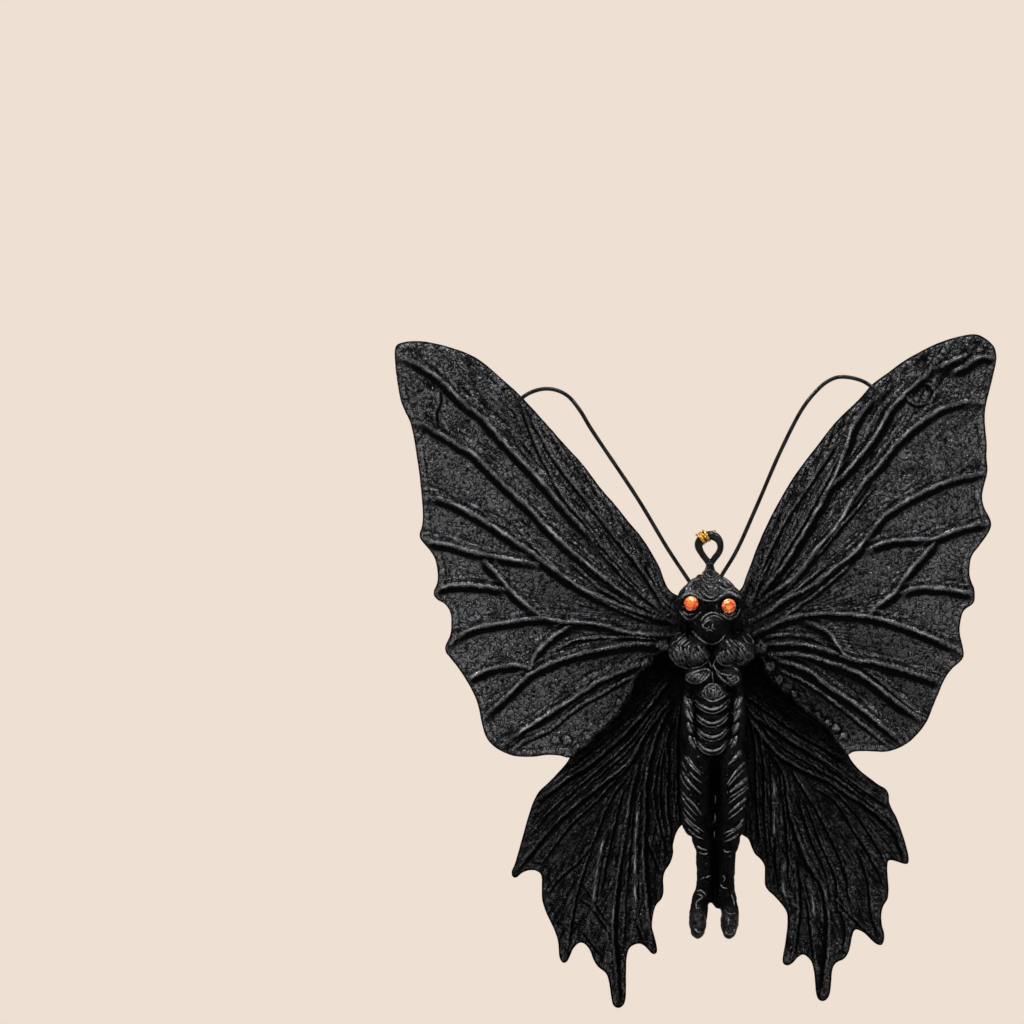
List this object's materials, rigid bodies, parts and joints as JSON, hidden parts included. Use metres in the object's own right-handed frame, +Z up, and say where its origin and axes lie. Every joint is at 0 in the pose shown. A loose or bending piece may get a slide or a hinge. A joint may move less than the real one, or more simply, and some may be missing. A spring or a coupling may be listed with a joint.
{
  "type": "moth hanging ornament",
  "caption": "Flat hanging ornament of an upright moth figure with spread veined wings, wire antennae, faceted eyes and a wire eye with a thread loop to hang it by.",
  "frame": {"origin": "inside top of the hanging eye, where a hook or a twig carries the ornament", "axes": "+Z up, the figure faces -Y, +X at the viewer's right"},
  "size_m": [0.1035, 0.0163, 0.1154],
  "materials": {
    "resin": "satin black paint on cast resin",
    "black_wire": "satin black paint on steel wire",
    "pin_steel": "bare steel",
    "eye_glass": "clear cut glass, orange red",
    "gold_thread": "gold metallic thread"
  },
  "bodies": {
    "moth": {"body_casting": "resin", "left_forewing": "resin", "right_forewing": "resin", "left_hindwing": "resin", "right_hindwing": "resin", "left_forewing_pin": "pin_steel", "right_forewing_pin": "pin_steel", "left_hindwing_pin": "pin_steel", "right_hindwing_pin": "pin_steel", "left_antenna": "black_wire", "right_antenna": "black_wire", "hanging_eye": "black_wire", "left_eye_gem": "eye_glass", "right_eye_gem": "eye_glass", "thread_hitch": "gold_thread"},
    "hanger": {"thread_knot": "gold_thread", "thread_loop": "gold_thread"}
  },
  "joints": [
    {"name": "hanger_swing", "type": "hinge", "parent": "moth", "child": "hanger", "pos_m": [-0.00094, 0.0039, 0.00046], "axis": [1, 0, 0], "range_deg": [0, 165]}
  ]
}
